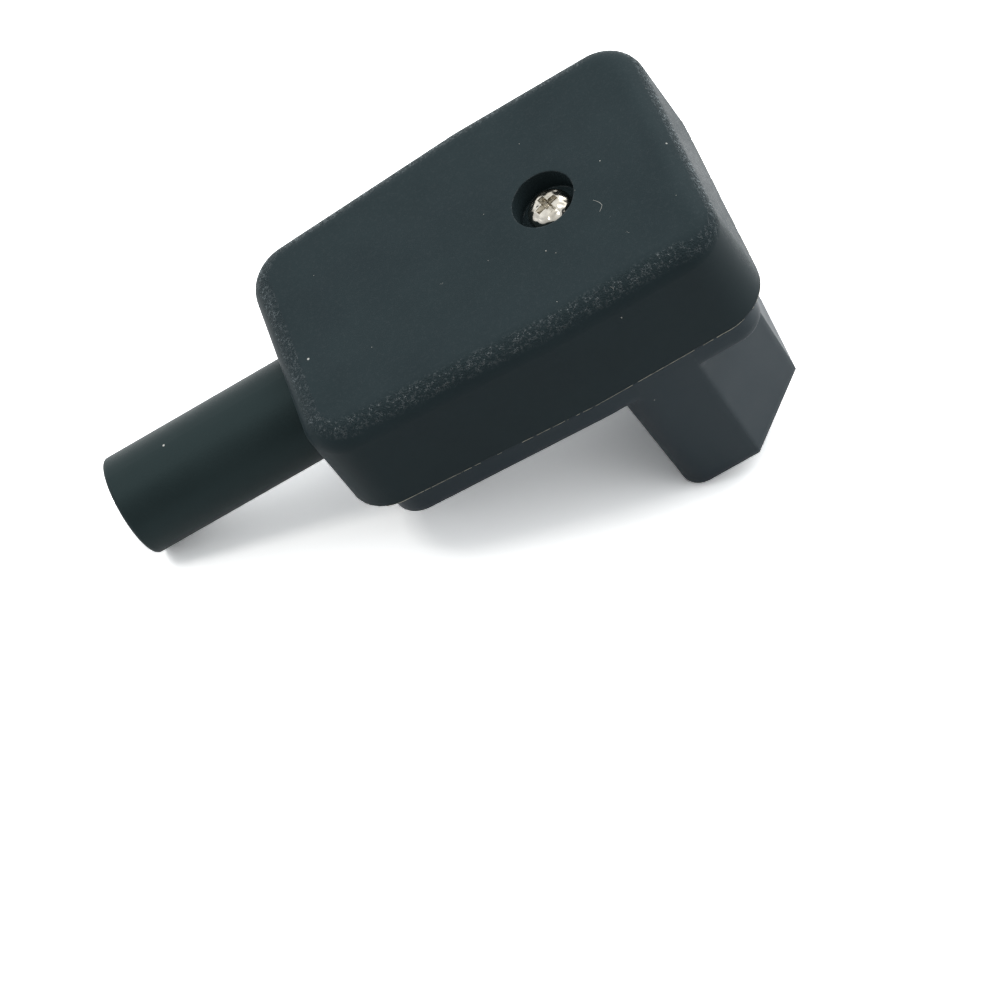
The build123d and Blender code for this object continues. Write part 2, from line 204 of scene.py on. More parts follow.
# %% Soft lamps
def lamp(name, azimuth, elevation, distance, size, power, colour):
    """A square area lamp that faces the connector, placed by its direction from it."""
    light = bpy.data.lights.new(name, "AREA")
    light.size = size
    light.energy = power
    light.color = colour
    lamp_object = bpy.data.objects.new(name, light)
    reach = distance * math.cos(math.radians(elevation))
    offset = Vector(
        (
            reach * math.sin(math.radians(azimuth)),
            reach * math.cos(math.radians(azimuth)),
            distance * math.sin(math.radians(elevation)),
        )
    )
    lamp_object.location = foot + offset
    lamp_object.rotation_euler = (-offset).to_track_quat("-Z", "Y").to_euler()
    bpy.context.scene.collection.objects.link(lamp_object)
    print(name, "at", [round(v, 2) for v in lamp_object.location])


DAYLIGHT = (1.0, 0.99, 0.98)
LAMPLIGHT = (1.0, 0.98, 0.94)
lamp("window", azimuth=54, elevation=58, distance=0.21, size=0.145, power=0.125, colour=DAYLIGHT)
lamp("glint", azimuth=-98, elevation=55, distance=1.1, size=0.20, power=1.8, colour=LAMPLIGHT)

# %% White table
TABLE_HALF = 1.5
TABLE_ROUGHNESS = 0.7
TABLE_IN_MIRRORS = 0.6
COOL_GREY = (0.225, 0.24, 0.26, 1)
BURNT_OUT_WHITE = (1.675, 1.66, 1.645, 1)
table_mesh = bpy.data.meshes.new("table")
corners = [(x * TABLE_HALF, y * TABLE_HALF, 0) for x, y in ((-1, -1), (1, -1), (1, 1), (-1, 1))]
table_mesh.from_pydata(corners, [], [(0, 1, 2, 3)])
table = bpy.data.objects.new("table", table_mesh)
bpy.context.scene.collection.objects.link(table)
table_paint = bpy.data.materials.new("white table")
table_paint.use_nodes = True
paint = table_paint.node_tree
matt = paint.nodes["Principled BSDF"]
matt.inputs["Base Color"].default_value = COOL_GREY
matt.inputs["Roughness"].default_value = TABLE_ROUGHNESS
second_layer = node(paint, "ShaderNodeBsdfDiffuse", Color=BURNT_OUT_WHITE)
nothing = node(paint, "ShaderNodeEmission", Strength=0.0)
by_eye = seen_by_eye(paint, TABLE_IN_MIRRORS)
only_by_eye = mix_shaders(paint, by_eye, nothing.outputs["Emission"], second_layer.outputs["BSDF"])
burnt_out = node(paint, "ShaderNodeAddShader")
paint.links.new(matt.outputs["BSDF"], burnt_out.inputs[0])
paint.links.new(only_by_eye, burnt_out.inputs[1])
paint.links.new(burnt_out.outputs["Shader"], paint.nodes["Material Output"].inputs["Surface"])
table_mesh.materials.append(table_paint)
print("table", 2 * TABLE_HALF, "m wide")

# %% [markdown]
# ## Shader groups
#
# The plastics, the rubber and the metals share a few effects: the grain that a spark-eroded mould
# leaves, a slow cloudiness, paler worn edges, and dust on what faces up. Each effect is a node group
# with named sockets, built once and placed in each material with its own values. A group puts out
# masks, heights and a softened normal, and the Principled shader stays in the material.


# %% Helpers: a group with named sockets, and what the groups read
def new_group(name, inputs, outputs):
    """A shader node group with float inputs of a name and value, and float outputs."""
    group = bpy.data.node_groups.new(name, "ShaderNodeTree")
    for title, value in inputs.items():
        socket = group.interface.new_socket(title, in_out="INPUT", socket_type="NodeSocketFloat")
        socket.default_value = value
    for title in outputs:
        group.interface.new_socket(title, in_out="OUTPUT", socket_type="NodeSocketFloat")
    return group, group.nodes.new("NodeGroupInput"), group.nodes.new("NodeGroupOutput")


def on_object(tree, texture, scale):
    """Let a texture node read the object's own coordinates, at a scale from another node."""
    coordinates = node(tree, "ShaderNodeTexCoord")
    tree.links.new(coordinates.outputs["Object"], texture.inputs["Vector"])
    tree.links.new(scale, texture.inputs["Scale"])


def facing_up(tree):
    """How far the skin faces up, from -1 to 1."""
    skin_geometry = node(tree, "ShaderNodeNewGeometry")
    split = node(tree, "ShaderNodeSeparateXYZ")
    tree.links.new(skin_geometry.outputs["Normal"], split.inputs["Vector"])
    return split.outputs["Z"]


print("group helpers ready")

# %% Group: grain of an eroded mould
NOISE_MIDDLE = 0.5
RIDGE_FALL = 5.0
PIT_SCALE = 1.7
PIT_SHARE = 0.6
WALL_TO_TOP = (0.35, 0.62)
EDGE_TO_FLAT = (0.86, 0.909)
RUBBED_AWAY = 0.88
CREST_RISE = (0.60, 0.95)
SPARSE_SCALE = 0.6
SPARSE_RISE = (0.44, 0.62)
grain, grain_in, grain_out = new_group("mould grain", {"Scale": 2600.0}, ["Height", "Crest"])
grain_size = grain_in.outputs["Scale"]
worms = node(grain, "ShaderNodeTexNoise", Detail=1.5, Roughness=0.5, Distortion=0.3)
on_object(grain, worms, grain_size)
above_middle = math_node(grain, "SUBTRACT", worms.outputs["Fac"], NOISE_MIDDLE)
off_crest = math_node(grain, "ABSOLUTE", above_middle, 0.0)
fall = math_node(grain, "MULTIPLY", off_crest, RIDGE_FALL)
ridged = math_node(grain, "SUBTRACT", 1.0, fall, clamp=True)
pits = node(grain, "ShaderNodeTexNoise", Detail=2.0, Roughness=0.6)
on_object(grain, pits, math_node(grain, "MULTIPLY", grain_size, PIT_SCALE))
skin_up = facing_up(grain)
off_the_wall = ramp(grain, skin_up, *WALL_TO_TOP)
rubbed_flat = math_node(grain, "MULTIPLY", ramp(grain, skin_up, *EDGE_TO_FLAT), RUBBED_AWAY)
kept = math_node(grain, "MULTIPLY", off_the_wall, math_node(grain, "SUBTRACT", 1.0, rubbed_flat))
relief = math_node(grain, "ADD", ridged, math_node(grain, "MULTIPLY", pits.outputs["Fac"], PIT_SHARE))
grain.links.new(math_node(grain, "MULTIPLY", relief, kept), grain_out.inputs["Height"])
sparse = node(grain, "ShaderNodeTexNoise", Detail=1.0)
on_object(grain, sparse, math_node(grain, "MULTIPLY", grain_size, SPARSE_SCALE))
here_and_there = ramp(grain, sparse.outputs["Fac"], *SPARSE_RISE)
sharp = math_node(grain, "MULTIPLY", ramp(grain, ridged, *CREST_RISE), here_and_there)
grain.links.new(math_node(grain, "MULTIPLY", sharp, kept), grain_out.inputs["Crest"])
print("group", grain.name, [item.name for item in grain.interface.items_tree])

# %% Group: slow cloudiness
cloud, cloud_in, cloud_out = new_group("cloud", {"Scale": 120.0, "Contrast": 1.0}, ["Value"])
drift = node(cloud, "ShaderNodeTexNoise", Detail=4.0, Roughness=0.55)
on_object(cloud, drift, cloud_in.outputs["Scale"])
centred = math_node(cloud, "SUBTRACT", drift.outputs["Fac"], NOISE_MIDDLE)
spread = math_node(cloud, "MULTIPLY", centred, cloud_in.outputs["Contrast"])
cloud.links.new(math_node(cloud, "ADD", spread, NOISE_MIDDLE, clamp=True), cloud_out.inputs["Value"])
print("group", cloud.name)

# %% Group: worn edges
BEVEL_SAMPLES = 6
EDGE_TURN = (0.02, 0.25)
CHIP_RISE = (0.38, 0.66)
wear_inputs = {"Radius": 0.0003, "Softness": 0.0003, "Breakup": 1500.0}
wear, wear_in, wear_out = new_group("worn edge", wear_inputs, ["Mask"])
wear.interface.new_socket("Soft Normal", in_out="OUTPUT", socket_type="NodeSocketVector")
rounded = node(wear, "ShaderNodeBevel", {"samples": BEVEL_SAMPLES})
wear.links.new(wear_in.outputs["Radius"], rounded.inputs["Radius"])
surface = node(wear, "ShaderNodeNewGeometry")
facing = node(wear, "ShaderNodeVectorMath", {"operation": "DOT_PRODUCT"})
wear.links.new(rounded.outputs["Normal"], facing.inputs[0])
wear.links.new(surface.outputs["Normal"], facing.inputs[1])
turned_away = math_node(wear, "SUBTRACT", 1.0, facing.outputs["Value"])
edge = ramp(wear, turned_away, *EDGE_TURN)
chips = node(wear, "ShaderNodeTexNoise", Detail=3.0, Roughness=0.6)
on_object(wear, chips, wear_in.outputs["Breakup"])
broken = ramp(wear, chips.outputs["Fac"], *CHIP_RISE)
wear.links.new(math_node(wear, "MULTIPLY", edge, broken), wear_out.inputs["Mask"])
softened = node(wear, "ShaderNodeBevel", {"samples": BEVEL_SAMPLES})
wear.links.new(wear_in.outputs["Softness"], softened.inputs["Radius"])
wear.links.new(softened.outputs["Normal"], wear_out.inputs["Soft Normal"])
print("group", wear.name)

# %% Group: dust on what faces up
MOTE_RIM = (0.04, 0.12)
SETTLES_ON = (0.2, 0.7)
dust, dust_in, dust_out = new_group("settled dust", {"Scale": 900.0, "Amount": 0.05}, ["Mask"])
motes = node(dust, "ShaderNodeTexVoronoi", {"feature": "F1"}, Randomness=1.0)
on_object(dust, motes, dust_in.outputs["Scale"])
mote_tone = node(dust, "ShaderNodeSeparateColor")
dust.links.new(motes.outputs["Color"], mote_tone.inputs["Color"])
rare = math_node(dust, "LESS_THAN", mote_tone.outputs["Green"], dust_in.outputs["Amount"])
small = math_node(dust, "SUBTRACT", 1.0, ramp(dust, motes.outputs["Distance"], *MOTE_RIM))
can_settle = ramp(dust, facing_up(dust), *SETTLES_ON)
mote = math_node(dust, "MULTIPLY", math_node(dust, "MULTIPLY", rare, small), can_settle)
dust.links.new(mote, dust_out.inputs["Mask"])
print("group", dust.name)

# %% [markdown]
# ## Plastics and rubber
#
# Real mouldings of this kind are black thermoplastic, yet a lamp shows them as a dark blue grey: the
# pigment is black and the fine texture scatters a little of the room. The cover has the coarse,
# ridged grain of an eroded mould, kept on its rounded edges and rubbed nearly flat on its top. The
# crests of the ridges are polished and glint, so Metallic goes up on the crests alone, over a dark
# colour: a crest then mirrors a little more of the lamp, and the hollows stay matt. The base is
# smoother and shinier, and the sleeve is a soft rubber with a faint green cast.


# %% Helpers: place a group, mix colours, dress a solid
def place_group(tree, group, **values):
    """A copy of a node group in a material, with its own input values."""
    made = tree.nodes.new("ShaderNodeGroup")
    made.node_tree = group
    for title, value in values.items():
        made.inputs[title].default_value = value
    return made


def mix_colour(tree, mask, low, high):
    """A colour that goes from low to high with a mask; each is a colour or another output."""
    made = tree.nodes.new("ShaderNodeMix")
    made.data_type = "RGBA"
    tree.links.new(mask, made.inputs["Factor"])
    for socket, source in ((made.inputs[6], low), (made.inputs[7], high)):
        if isinstance(source, tuple):
            socket.default_value = (*source, 1)
        else:
            tree.links.new(source, socket)
    return made.outputs[2]


def dress(title, material):
    """Give a solid its one material."""
    nodes[title].data.materials.clear()
    nodes[title].data.materials.append(material)
    print(title, "takes", material.name)


print("material helpers ready")

# %% Helper: a moulded material from the groups
CLOUD_SCALE = 140.0
CLOUD_CONTRAST = 1.6
CHIP_SCALE = 1300.0
WEAR_SHARE = 0.7
DUST_SCALE = 750.0
DUST_TONE = (0.55, 0.55, 0.52)
CREST_TONE = (0.066, 0.076, 0.080)


def moulding(
    name,
    deep,
    light,
    worn,
    grain_scale,
    grain_depth,
    roughness,
    roughness_swing,
    crest_polish,
    crest_mirror,
    specular,
    specular_tint,
    edge_radius,
    softness,
    dust_amount,
):
    """A moulded finish: cloudy colour, eroded grain, paler edges and a little dust."""
    material = bpy.data.materials.new(name)
    material.use_nodes = True
    tree = material.node_tree
    shader = tree.nodes["Principled BSDF"]
    shader.inputs["Specular Tint"].default_value = (*specular_tint, 1)
    clouds = place_group(tree, cloud, Scale=CLOUD_SCALE, Contrast=CLOUD_CONTRAST)
    fine = place_group(tree, grain, Scale=grain_scale)
    rubbed = place_group(tree, wear, Radius=edge_radius, Softness=softness, Breakup=CHIP_SCALE)
    motes_here = place_group(tree, dust, Scale=DUST_SCALE, Amount=dust_amount)
    colour = mix_colour(tree, clouds.outputs["Value"], deep, light)
    worn_here = math_node(tree, "MULTIPLY", rubbed.outputs["Mask"], WEAR_SHARE)
    colour = mix_colour(tree, worn_here, colour, worn)
    colour = mix_colour(tree, motes_here.outputs["Mask"], colour, DUST_TONE)
    glint = math_node(tree, "MULTIPLY", fine.outputs["Crest"], crest_mirror)
    colour = mix_colour(tree, glint, colour, CREST_TONE)
    tree.links.new(glint, shader.inputs["Metallic"])
    tree.links.new(colour, shader.inputs["Base Color"])
    off_middle = math_node(tree, "SUBTRACT", clouds.outputs["Value"], NOISE_MIDDLE)
    swing = math_node(tree, "MULTIPLY", off_middle, roughness_swing)
    level = math_node(tree, "ADD", swing, roughness)
    shine = math_node(tree, "MULTIPLY", fine.outputs["Crest"], crest_polish)
    level = math_node(tree, "SUBTRACT", level, shine, clamp=True)
    tree.links.new(level, shader.inputs["Roughness"])
    shader.inputs["Specular IOR Level"].default_value = specular
    bump = node(tree, "ShaderNodeBump", Strength=1.0, Distance=grain_depth)
    tree.links.new(fine.outputs["Height"], bump.inputs["Height"])
    tree.links.new(rubbed.outputs["Soft Normal"], bump.inputs["Normal"])
    tree.links.new(bump.outputs["Normal"], shader.inputs["Normal"])
    return material


print("moulding helper ready")

# %% Cover, base and sleeve
cover_plastic = moulding(
    "cover plastic",
    deep=(0.0168, 0.0264, 0.0298),
    light=(0.0236, 0.0356, 0.0394),
    worn=(0.10, 0.11, 0.115),
    grain_scale=4200.0,
    grain_depth=0.000045,
    roughness=0.46,
    roughness_swing=0.14,
    crest_polish=0.26,
    crest_mirror=1.0,
    specular=0.06,
    specular_tint=(0.88, 0.97, 1.0),
    edge_radius=0.00025,
    softness=0.00025,
    dust_amount=0.010,
)
base_plastic = moulding(
    "base plastic",
    deep=(0.0198, 0.0290, 0.0352),
    light=(0.0260, 0.0368, 0.0445),
    worn=(0.12, 0.13, 0.135),
    grain_scale=5200.0,
    grain_depth=0.00001,
    roughness=0.42,
    roughness_swing=0.20,
    crest_polish=0.05,
    crest_mirror=0.15,
    specular=0.15,
    specular_tint=(0.70, 0.90, 1.0),
    edge_radius=0.00020,
    softness=0.00110,
    dust_amount=0.006,
)
sleeve_rubber = moulding(
    "sleeve rubber",
    deep=(0.0150, 0.0238, 0.0246),
    light=(0.0204, 0.0308, 0.0317),
    worn=(0.05, 0.06, 0.06),
    grain_scale=6000.0,
    grain_depth=0.000006,
    roughness=0.47,
    roughness_swing=0.14,
    crest_polish=0.0,
    crest_mirror=0.0,
    specular=0.14,
    specular_tint=(0.68, 0.95, 1.0),
    edge_radius=0.00015,
    softness=0.00030,
    dust_amount=0.004,
)
dress("cover", cover_plastic)
dress("base", base_plastic)
dress("cable_guard", sleeve_rubber)

# %% [markdown]
# ## Metals
#
# The screws are nickel-plated steel, tumbled in bulk, so their heads are full of small soft dents
# that catch the light one by one. The contacts, nuts and insert are brass, bright along the edges
# and a little brown elsewhere. One helper makes both, with the same cloud and wear groups.

# %% Helper: a metal from the groups
PATCH_SCALE = 900.0
PATCH_CONTRAST = 2.2
BRIGHT_EDGE = 0.00012
SCRATCH_SCALE = 2500.0
BRIGHT_SHARE = 0.6
DENT_SMOOTHNESS = 0.6
TOOL_MARK_SCALE = 9000.0


def metal(name, bright, dull, worn, roughness, roughness_swing, dent_scale, dent_depth, brush_depth):
    """A plated or bare metal: patchy tone and roughness, soft dents and fine tool marks."""
    material = bpy.data.materials.new(name)
    material.use_nodes = True
    tree = material.node_tree
    shader = tree.nodes["Principled BSDF"]
    shader.inputs["Metallic"].default_value = 1.0
    patches = place_group(tree, cloud, Scale=PATCH_SCALE, Contrast=PATCH_CONTRAST)
    rubbed = place_group(tree, wear, Radius=BRIGHT_EDGE, Breakup=SCRATCH_SCALE)
    tone = mix_colour(tree, patches.outputs["Value"], bright, dull)
    worn_here = math_node(tree, "MULTIPLY", rubbed.outputs["Mask"], BRIGHT_SHARE)
    tone = mix_colour(tree, worn_here, tone, worn)
    tree.links.new(tone, shader.inputs["Base Color"])
    off_middle = math_node(tree, "SUBTRACT", patches.outputs["Value"], NOISE_MIDDLE)
    swing = math_node(tree, "MULTIPLY", off_middle, roughness_swing)
    tree.links.new(math_node(tree, "ADD", swing, roughness, clamp=True), shader.inputs["Roughness"])
    here = node(tree, "ShaderNodeTexCoord")
    dents = node(tree, "ShaderNodeTexVoronoi", {"feature": "SMOOTH_F1"}, Scale=dent_scale)
    dents.inputs["Smoothness"].default_value = DENT_SMOOTHNESS
    tree.links.new(here.outputs["Object"], dents.inputs["Vector"])
    marks = node(tree, "ShaderNodeTexNoise", Scale=TOOL_MARK_SCALE, Detail=2.0)
    tree.links.new(here.outputs["Object"], marks.inputs["Vector"])
    deep_bump = node(tree, "ShaderNodeBump", Strength=1.0, Distance=dent_depth)
    tree.links.new(dents.outputs["Distance"], deep_bump.inputs["Height"])
    fine_bump = node(tree, "ShaderNodeBump", Strength=1.0, Distance=brush_depth)
    tree.links.new(marks.outputs["Fac"], fine_bump.inputs["Height"])
    tree.links.new(deep_bump.outputs["Normal"], fine_bump.inputs["Normal"])
    tree.links.new(fine_bump.outputs["Normal"], shader.inputs["Normal"])
    return material


nickel = metal(
    "nickel plate",
    bright=(0.66, 0.63, 0.57),
    dull=(0.40, 0.37, 0.31),
    worn=(0.84, 0.82, 0.76),
    roughness=0.19,
    roughness_swing=0.20,
    dent_scale=1300.0,
    dent_depth=0.00019,
    brush_depth=0.000004,
)
brass = metal(
    "contact brass",
    bright=(0.83, 0.63, 0.30),
    dull=(0.60, 0.42, 0.19),
    worn=(0.92, 0.74, 0.42),
    roughness=0.28,
    roughness_swing=0.24,
    dent_scale=700.0,
    dent_depth=0.00001,
    brush_depth=0.000006,
)
for title in nodes:
    if title.endswith(("contact", "nut", "insert")):
        dress(title, brass)
    elif title.endswith(("screw", "washer", "screw_left", "screw_right")):
        dress(title, nickel)
    elif title == "cord_clamp":
        dress(title, base_plastic)

# %% [markdown]
# ## Screws
#
# Each screw was turned, pressed with a cross and rolled with a thread. A thread is a section swept
# along a helix, which is a rule, so a Geometry Nodes tree makes it: a right-handed spiral, and a
# four-sided section on it with one corner outwards. The head and the core are one profile spun in
# mesh code, and a tapered cross is cut out of the head. The screws stand in the same seats as the
# solids that they replace.

# %% Tree: a rolled thread
SECTION_CORNERS = 4
TURN_STEPS = 28


def new_tree(name, inputs):
    """A Geometry Nodes tree with named inputs; each is a socket type and a default value."""
    tree = bpy.data.node_groups.new(name, "GeometryNodeTree")
    for title, (kind, value) in inputs.items():
        socket = tree.interface.new_socket(title, in_out="INPUT", socket_type=kind)
        if value is not None:
            socket.default_value = value
    tree.interface.new_socket("Geometry", in_out="OUTPUT", socket_type="NodeSocketGeometry")
    return tree, tree.nodes.new("NodeGroupInput"), tree.nodes.new("NodeGroupOutput")


def end_tree(tree, tree_in, tree_out, source):
    """Realize the instances, set the finish and hand the geometry out."""
    real = tree.nodes.new("GeometryNodeRealizeInstances")
    finish = tree.nodes.new("GeometryNodeSetMaterial")
    tree.links.new(source, real.inputs["Geometry"])
    tree.links.new(real.outputs["Geometry"], finish.inputs["Geometry"])
    tree.links.new(tree_in.outputs["Finish"], finish.inputs["Material"])
    tree.links.new(finish.outputs["Geometry"], tree_out.inputs["Geometry"])


thread, thread_in, thread_out = new_tree(
    "rolled thread",
    {
        "Radius": ("NodeSocketFloat", 1.25),
        "Pitch": ("NodeSocketFloat", 0.45),
        "Length": ("NodeSocketFloat", 12.0),
        "Finish": ("NodeSocketMaterial", None),
    },
)
half_pitch = math_node(thread, "MULTIPLY", thread_in.outputs["Pitch"], 0.5)
core_radius = math_node(thread, "SUBTRACT", thread_in.outputs["Radius"], half_pitch)
swept = math_node(thread, "SUBTRACT", thread_in.outputs["Length"], thread_in.outputs["Pitch"])
helix = thread.nodes.new("GeometryNodeCurveSpiral")
helix.inputs["Resolution"].default_value = TURN_STEPS
helix.inputs["Reverse"].default_value = True
turn_count = math_node(thread, "DIVIDE", swept, thread_in.outputs["Pitch"])
thread.links.new(turn_count, helix.inputs["Rotations"])
thread.links.new(core_radius, helix.inputs["Start Radius"])
thread.links.new(core_radius, helix.inputs["End Radius"])
thread.links.new(swept, helix.inputs["Height"])
upright = thread.nodes.new("GeometryNodeSetCurveNormal")
upright.mode = "Z_UP"
thread.links.new(helix.outputs["Curve"], upright.inputs["Curve"])
section = thread.nodes.new("GeometryNodeCurvePrimitiveCircle")
section.inputs["Resolution"].default_value = SECTION_CORNERS
thread.links.new(half_pitch, section.inputs["Radius"])
ridge = thread.nodes.new("GeometryNodeCurveToMesh")
ridge.inputs["Fill Caps"].default_value = True
thread.links.new(upright.outputs["Curve"], ridge.inputs["Curve"])
thread.links.new(section.outputs["Curve"], ridge.inputs["Profile Curve"])
end_tree(thread, thread_in, thread_out, ridge.outputs["Mesh"])
print("tree", thread.name, [item.name for item in thread.interface.items_tree])


# %% Helpers: run a tree, spin a profile, make a cross
def run_tree(tree, source, values):
    """The plain mesh that a Geometry Nodes tree makes from a source mesh and its named inputs."""
    holder = bpy.data.objects.new("holder", source)
    bpy.context.scene.collection.objects.link(holder)
    modifier = holder.modifiers.new("tree", "NODES")
    modifier.node_group = tree
    for item in tree.interface.items_tree:
        if item.item_type == "SOCKET" and item.name in values:
            modifier[item.identifier] = values[item.name]
    result = bpy.data.meshes.new_from_object(holder.evaluated_get(bpy.context.evaluated_depsgraph_get()))
    bpy.data.objects.remove(holder)
    return result


def spun(profile, steps):
    """A closed solid turned about Z from (radius, height) points that start and end on the axis."""
    shape = bmesh.new()
    rings = []
    for radius, height in profile:
        count = steps if radius else 1
        angles = [2 * math.pi * step / count for step in range(count)]
        ring = [(radius * math.cos(angle), radius * math.sin(angle), height) for angle in angles]
        rings.append([shape.verts.new(point) for point in ring])
    for low, high in zip(rings, rings[1:]):
        for step in range(steps):
            after = (step + 1) % steps
            below = [low[step % len(low)], low[after % len(low)]]
            above = [high[after % len(high)], high[step % len(high)]]
            shape.faces.new(list(dict.fromkeys(below + above)))
    bmesh.ops.recalc_face_normals(shape, faces=shape.faces)
    return shape


def cross_shape(reach, half_width, top, bottom, taper, angle):
    """A tapered cross: four arms that narrow towards the bottom of the recess."""
    shape = bmesh.new()
    rings = []
    for height, share in ((top, 1.0), (bottom, taper)):
        ring = []
        for quarter in range(4):
            spin = Matrix.Rotation(quarter * math.pi / 2 + angle, 3, "Z")
            for x, y in ((reach, -half_width), (reach, half_width), (half_width, half_width)):
                ring.append(shape.verts.new(spin @ Vector((x * share, y * share, height))))
        rings.append(ring)
    count = len(rings[0])
    for step in range(count):
        after = (step + 1) % count
        shape.faces.new((rings[0][step], rings[0][after], rings[1][after], rings[1][step]))
    shape.faces.new(rings[0])
    shape.faces.new(rings[1])
    bmesh.ops.recalc_face_normals(shape, faces=shape.faces)
    return shape


def as_object(name, shape):
    """A linked object from a bmesh, which is freed."""
    mesh = bpy.data.meshes.new(name)
    shape.to_mesh(mesh)
    shape.free()
    made = bpy.data.objects.new(name, mesh)
    bpy.context.scene.collection.objects.link(made)
    return made


print("helpers for turned and cut pieces ready")

# %% Screws in their seats
HEAD_STEPS = 56
SHARP_ANGLE = math.radians(38)
# Points of the head's profile, as shares of its radius and of its height.
crown_shares = [
    (0, 1.0),
    (0.30, 0.99),
    (0.55, 0.95),
    (0.74, 0.88),
    (0.88, 0.76),
    (0.96, 0.60),
    (1.0, 0.40),
    (1.0, 0.10),
    (0.96, 0.0),
]
arm_reach_share = 0.66
arm_width_share = 0.19
recess_depth_share = 0.62
recess_taper_share = 0.60
rim_round_share = 0.025
tip_share = 0.62


def turned_screw(name, seat, head, shank, pitch, length, cross_angle):
    """A pan head screw with a cross recess and a rolled thread, seated at a point in millimetres."""
    head_diameter, head_height = head
    head_radius = head_diameter / 2
    core = shank / 2 - pitch / 2
    profile = [(share * head_radius, level * head_height) for share, level in crown_shares]
    profile += [(core, 0), (core, pitch - length), (tip_share * core, -length), (0, -length)]
    blank = as_object(name, spun(profile, HEAD_STEPS))
    cutter = as_object(
        name + "_cross",
        cross_shape(
            arm_reach_share * head_radius,
            arm_width_share * head_radius,
            head_height * (1 + recess_depth_share),
            head_height * (1 - recess_depth_share),
            recess_taper_share,
            cross_angle,
        ),
    )
    cut = blank.modifiers.new("cross", "BOOLEAN")
    cut.object = cutter
    soft = blank.modifiers.new("edges", "BEVEL")
    soft.width = rim_round_share * head_diameter
    soft.segments = 2
    soft.limit_method = "ANGLE"
    soft.angle_limit = SHARP_ANGLE
    pressed = bpy.data.meshes.new_from_object(blank.evaluated_get(bpy.context.evaluated_depsgraph_get()))
    bpy.data.objects.remove(cutter)
    bpy.data.objects.remove(blank)
    thread_values = {"Radius": shank / 2, "Pitch": pitch, "Length": length, "Finish": nickel}
    ridge_mesh = run_tree(thread, bpy.data.meshes.new("thread"), thread_values)
    ridge_mesh.transform(Matrix.Translation((0, 0, pitch / 2 - length)))
    whole = bmesh.new()
    whole.from_mesh(pressed)
    whole.from_mesh(ridge_mesh)
    for face in whole.faces:
        face.smooth = True
        face.material_index = 0
    for border in whole.edges:
        border.smooth = border.calc_face_angle(0) < SHARP_ANGLE
    screw = as_object(name, whole)
    screw.data.transform(connector @ Matrix.Translation(seat))
    screw.data.materials.append(nickel)
    return screw


COVER_SEAT_Z = 9.55
CLAMP_SEAT_Z = 4.2
WASHER_TOP_Z = -0.6
cover_head = (4.5, 1.7)
terminal_head = (5.2, 1.9)
clamp_head = (4.0, 1.6)
# Seat, head, shank diameter, pitch, length below the head, and turn of the cross.
screws = {
    "cover_screw": ((0, 0, COVER_SEAT_Z), cover_head, 2.5, 0.45, 12.0, 0.30),
    "line_screw": ((-8.025, 7.0, WASHER_TOP_Z), terminal_head, 3.0, 0.5, 4.0, 0.9),
    "neutral_screw": ((-8.025, -7.0, WASHER_TOP_Z), terminal_head, 3.0, 0.5, 4.0, 0.2),
    "earth_screw": ((6.825, 0, WASHER_TOP_Z), terminal_head, 3.0, 0.5, 4.0, 1.2),
    "cord_clamp_screw_left": ((-17.6, 7.7, CLAMP_SEAT_Z), clamp_head, 2.6, 0.9, 7.6, 0.6),
    "cord_clamp_screw_right": ((-17.6, -7.7, CLAMP_SEAT_Z), clamp_head, 2.6, 0.9, 7.6, 1.0),
}
for title, (seat, head, shank, pitch, length, cross_angle) in screws.items():
    screw = turned_screw(title + "_turned", seat, head, shank, pitch, length, cross_angle)
    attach(screw, "root")
    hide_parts(title)
    print(screw.name, "has", len(screw.data.polygons), "faces")

# %% [markdown]
# ## Mould flash along the cover's lower edge
#
# Where the two halves of a mould meet, a hair of plastic squeezes out. On the cover it hangs along
# the whole lower edge as a broken line, thicker in some places and missing in others. Its pale
# colour is partly a painted highlight, made light so that the line stays bright in the shade of the
# near side. The line is a rule along a path, so a Geometry Nodes tree makes it: the path comes from
# the solid itself, noise breaks it into stretches, and a thin four-sided section is swept along what
# is left.

# %% The lower outline of the cover
SEAM_BAND = 0.02
to_local = connector.inverted()
cover_points = [to_local @ vertex.co for vertex in nodes["cover"].data.vertices]
rim = sorted({(round(p.x, 4), round(p.y, 4)) for p in cover_points if abs(p.z) < SEAM_BAND})


def half_hull(points):
    """One side of the convex outline of sorted plan points."""
    chain = []
    for point in points:
        while len(chain) > 1:
            (ax, ay), (bx, by) = chain[-2:]
            if (bx - ax) * (point[1] - ay) - (by - ay) * (point[0] - ax) > 0:
                break
            chain.pop()
        chain.append(point)
    return chain[:-1]


FLASH_INSET = 0.045
FLASH_DROP = 0.02
outline = [Vector((x, y, -FLASH_DROP)) for x, y in half_hull(rim) + half_hull(rim[::-1])]
middle = sum(outline, Vector()) / len(outline)
drawn_in = [point + (middle - point).normalized() * FLASH_INSET for point in outline]
count = len(drawn_in)
edge_path = bpy.data.meshes.new("cover edge")
edge_path.from_pydata(drawn_in, [(step, (step + 1) % count) for step in range(count)], [])
print("lower edge of the cover has", count, "points")

